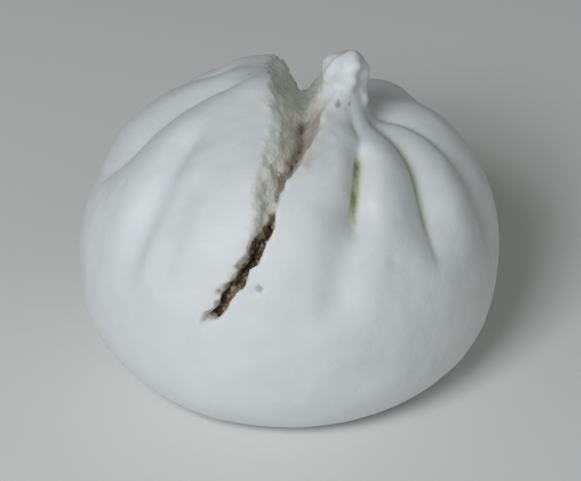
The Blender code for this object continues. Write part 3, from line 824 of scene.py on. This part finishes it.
def makeDough(stubPost, splitWedge, pocket, splitBottom):
    body = newObject("steamedDough", skin.data.copy())
    addBoolean(body, splitWedge, "DIFFERENCE")
    addBoolean(body, stubPost, "UNION")
    addBoolean(body, pocket, "DIFFERENCE")
    grain = body.modifiers.new("evenGrain", "REMESH")
    grain.mode = "VOXEL"
    grain.voxel_size = bun["grain"]
    mesh = makePlain(body)
    keepLargestPiece(mesh)
    print("dough cut", len(mesh.vertices))

    places, marks = markDough(mesh, stubPost, splitWedge, pocket, splitBottom)
    torn, crease, sauce, seep, cleft, soaked = marks
    lip = np.minimum(1, blurred(mesh, 4 * torn * (1 - torn), 2))[:, None]
    for _ in range(dough["lipRounding"]):
        places += lip * (np.stack([blurred(mesh, column, 1) for column in places.T], axis=1) - places)
    places -= unit(places - girthCentre) * (dough["cleftDepth"] * cleft)[:, None]
    places[:, 2] = np.maximum(places[:, 2], 0.0)
    mesh.vertices.foreach_set("co", places.ravel())
    mesh.update()

    normals = getRows(mesh.vertex_normals, "vector")
    for k in np.flatnonzero(torn > 0.02):
        near = Vector(places[k])
        pore = noise.voronoi(near / dough["poreSize"])[0][0]
        crumb = noise.fractal(near / dough["crumbSize"], 1.0, 2.1, 4)
        fibre = noise.noise(Vector([c / s for c, s in zip(near, dough["fibreSize"])]))
        push = dough["poreDepth"] * (min(pore, 0.8) * 2 - 1) + dough["crumbHeight"] * crumb
        push += dough["fibreHeight"] * fibre
        places[k] += normals[k] * (push * torn[k])
    mesh.vertices.foreach_set("co", places.ravel())
    for name, values, times in (
        ("soaked", soaked, 0), ("torn", torn, 1), ("crease", crease, 3), ("sauce", sauce, 1),
        ("seep", seep, 1), ("cleft", cleft, 1),
    ):
        setAttribute(mesh, name, blurred(mesh, values, times))
    mesh.shade_smooth()
    mesh.materials.clear()
    mesh.materials.append(doughMaterial)
    return body


def markOpen(filling, splitWedge):  # where the filling lies bare in the burst
    faces = bvhtree.BVHTree.FromObject(splitWedge, bpy.context.evaluated_depsgraph_get())
    bare = []
    for place in getRows(filling.data.vertices, "co"):
        spot, normal, _, away = faces.find_nearest(place)
        inside = (Vector(place) - spot).dot(normal) < 0
        bare.append(1.0 if inside or away < pork["bareReach"] else 0.0)
    setAttribute(filling.data, "bare", bare)


stubPost = makeStub()
splitWedge, splitBottom = makeSplit()
pocket = makeFilling("pocket", pork["pocketLevel"], gap=pork["gap"])
bunDough = makeDough(stubPost, splitWedge, pocket, splitBottom)
porkFilling = makeFilling("porkFilling", pork["fillingLevel"], minced=pork["mincedHeight"])
porkFilling.data.shade_smooth()
porkFilling.data.materials.append(porkMaterial)
markOpen(porkFilling, splitWedge)
print("dough and filling")


# Loose crumbs on the torn dough, and chopped bits in the open part of the burst
# density is per square metre, small and large are radii, sink is the share of the radius that is set in

crumbs = dict(density=1.6e5, small=0.00020, large=0.00060, rough=0.6, sink=0.6, seed=4, mark="torn")
bits = dict(density=1.3e6, small=0.00035, large=0.00090, rough=1.1, sink=0.1, seed=11, mark="bare")
wallBits = dict(density=0.9e6, small=0.00020, large=0.00055, rough=0.9, sink=0.3, seed=12, mark="soaked")


def scatterTree():  # lumpy bits strewn over the marked part of a surface
    tree, add, size = newTree(
        "scatteredBits", Object="surface", Float="density small large rough sink", Int="seed", String="mark",
        Material="material",
    )
    surface = add("GeometryNodeObjectInfo", {"Object": size["surface"]}).outputs["Geometry"]
    mark = add("GeometryNodeInputNamedAttribute", {"Name": size["mark"]})
    marked = add("ShaderNodeMath", {0: mark, 1: 0.8}, operation="GREATER_THAN")
    spread = add("GeometryNodeDistributePointsOnFaces", {
        "Mesh": surface, "Selection": marked, "Density": size["density"], "Seed": size["seed"]})

    # one lump, dented by noise in a different way for each bit
    ball = add("GeometryNodeMeshIcoSphere", {"Radius": 1.0, "Subdivisions": 2})
    radius = add("FunctionNodeRandomValue", {2: 0.0, 3: 1.0, "Seed": size["seed"]}, data_type="FLOAT")
    radius = add("ShaderNodeMath", {0: radius.outputs[1], 1: 2.0}, operation="POWER")
    radius = add("ShaderNodeMix", {0: radius, 2: size["small"], 3: size["large"]})
    inward = add("ShaderNodeMath", {0: radius, 1: size["sink"]}, operation="MULTIPLY")
    inward = add("ShaderNodeMath", {0: inward, 1: -1.0}, operation="MULTIPLY")
    inward = add("ShaderNodeVectorMath", {0: spread.outputs["Normal"], "Scale": inward}, operation="SCALE")
    sunk = add("GeometryNodeSetPosition", {"Geometry": spread.outputs["Points"], "Offset": inward})
    stretch, turn = (
        add("FunctionNodeRandomValue", {0: low, 1: high, "Seed": seed}, **asVector).outputs[0]
        for low, high, seed in (((0.7, 0.7, 0.6), (1.3, 1.1, 1.0), 3), ((0.0,) * 3, (math.tau,) * 3, 5)))
    scale = add("ShaderNodeVectorMath", {0: stretch, "Scale": radius}, operation="SCALE")
    placed = add("GeometryNodeInstanceOnPoints", {
        "Points": sunk, "Instance": ball, "Rotation": turn, "Scale": scale})
    tone = add("FunctionNodeRandomValue", {2: 0.0, 3: 1.0, "Seed": 8}, data_type="FLOAT")
    placed = add("GeometryNodeStoreNamedAttribute", {
        "Geometry": placed, "Name": "tone", "Value": tone.outputs[1]}, data_type="FLOAT", domain="INSTANCE")
    real = add("GeometryNodeRealizeInstances", {"Geometry": placed})
    spot = add("GeometryNodeInputPosition")
    dent = add("ShaderNodeTexNoise", {"Vector": spot, "Scale": 1700.0, "Detail": 1.0})
    for operation, value in (("ADD", -0.5), ("MULTIPLY", size["rough"]), ("MULTIPLY", size["large"])):
        dent = add("ShaderNodeMath", {0: dent, 1: value}, operation=operation)
    normal = add("GeometryNodeInputNormal")
    push = add("ShaderNodeVectorMath", {0: normal, "Scale": dent}, operation="SCALE")
    lumpy = add("GeometryNodeSetPosition", {"Geometry": real, "Offset": push})
    smooth = add("GeometryNodeSetShadeSmooth", {"Geometry": lumpy})
    whole = add("GeometryNodeRealizeInstances", {"Geometry": smooth})
    whole = add("GeometryNodeSetMaterial", {"Geometry": whole, "Material": size["material"]})
    add("NodeGroupOutput", {0: whole})
    return tree


def scatter(name, surface, style, material):
    made = grow(name, scatterTree(), {**style, "surface": surface, "material": material})
    print(name, len(made.data.polygons))
    return made


def joined(name, *parts):
    bm = bmesh.new()
    for part in parts:
        bm.from_mesh(part.data)
    whole = objectFrom(name, bm)
    for material in parts[0].data.materials:
        whole.data.materials.append(material)
    dropObjects(*parts)
    return whole


doughCrumbs = scatter("doughCrumbs", bunDough, crumbs, doughMaterial)
porkBits = joined("porkBits", scatter("looseBits", porkFilling, bits, porkMaterial),
                  scatter("wallBits", bunDough, wallBits, porkMaterial))
dropObjects(skin, stubPost, splitWedge, pocket)


# Studio: pale floor, soft cool key from the front left, weak fill from the front right

studio = dict(
    floor="#ECECEA", floorRoughness=0.8, floorHalf=1.5,
    key=dict(place=(-0.25, -0.43, 0.45), size=0.26, power=2.25, colour=(0.95, 0.98, 1.0)),
    fill=dict(place=(0.42, -0.48, 0.40), size=0.6, power=0.3, colour=(0.97, 1.0, 0.97)),
    room=(0.93, 1.0, 0.95, 1), roomStrength=0.155,
    aim=(0, 0, 0.02),
)


def softLight(name, place, size, power, colour):
    light = bpy.data.lights.new(name, "AREA")
    light.size, light.energy, light.color = size, power, colour
    lamp = newObject(name, light)
    lamp.location = place
    lamp.rotation_euler = (Vector(studio["aim"]) - Vector(place)).to_track_quat("-Z", "Y").to_euler()


def makeStudio():
    bm = bmesh.new()
    bmesh.ops.create_grid(bm, x_segments=1, y_segments=1, size=studio["floorHalf"])
    floor = objectFrom("paleFloor", bm)
    made, add = newMaterial("paleFloor")
    finish = {"Base Color": linear(studio["floor"]), "Roughness": studio["floorRoughness"]}
    shader = add("ShaderNodeBsdfPrincipled", finish)
    add("ShaderNodeOutputMaterial", {"Surface": shader})
    floor.data.materials.append(made)
    softLight("keyLight", **studio["key"])
    softLight("fillLight", **studio["fill"])
    world = bpy.data.worlds.new("room")
    world.use_nodes = True
    background = world.node_tree.nodes["Background"]
    background.inputs["Color"].default_value = studio["room"]
    background.inputs["Strength"].default_value = studio["roomStrength"]
    bpy.context.scene.world = world
    bpy.context.scene.view_settings.view_transform = "Standard"


view = dict(elevation=36, distance=0.5, aim=(0, 0, 0.0186), pixelsPerMetre=5620, width=581, sensor=36)


def makeCamera():
    tilt = math.radians(view["elevation"])
    back = Vector((0, -math.cos(tilt), math.sin(tilt)))
    data = bpy.data.cameras.new("camera")
    data.sensor_width = view["sensor"]
    data.lens = view["sensor"] * view["pixelsPerMetre"] * view["distance"] / view["width"]
    data.clip_start = 0.01
    camera = newObject("camera", data)
    camera.location = Vector(view["aim"]) + back * view["distance"]
    camera.rotation_euler = back.to_track_quat("Z", "Y").to_euler()
    bpy.context.scene.camera = camera


makeStudio()
makeCamera()
print("studio and camera")

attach(bunDough, "root")
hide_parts("dough")
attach(doughCrumbs, "root")
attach(porkFilling, "root")
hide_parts("filling")
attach(porkBits, "root")
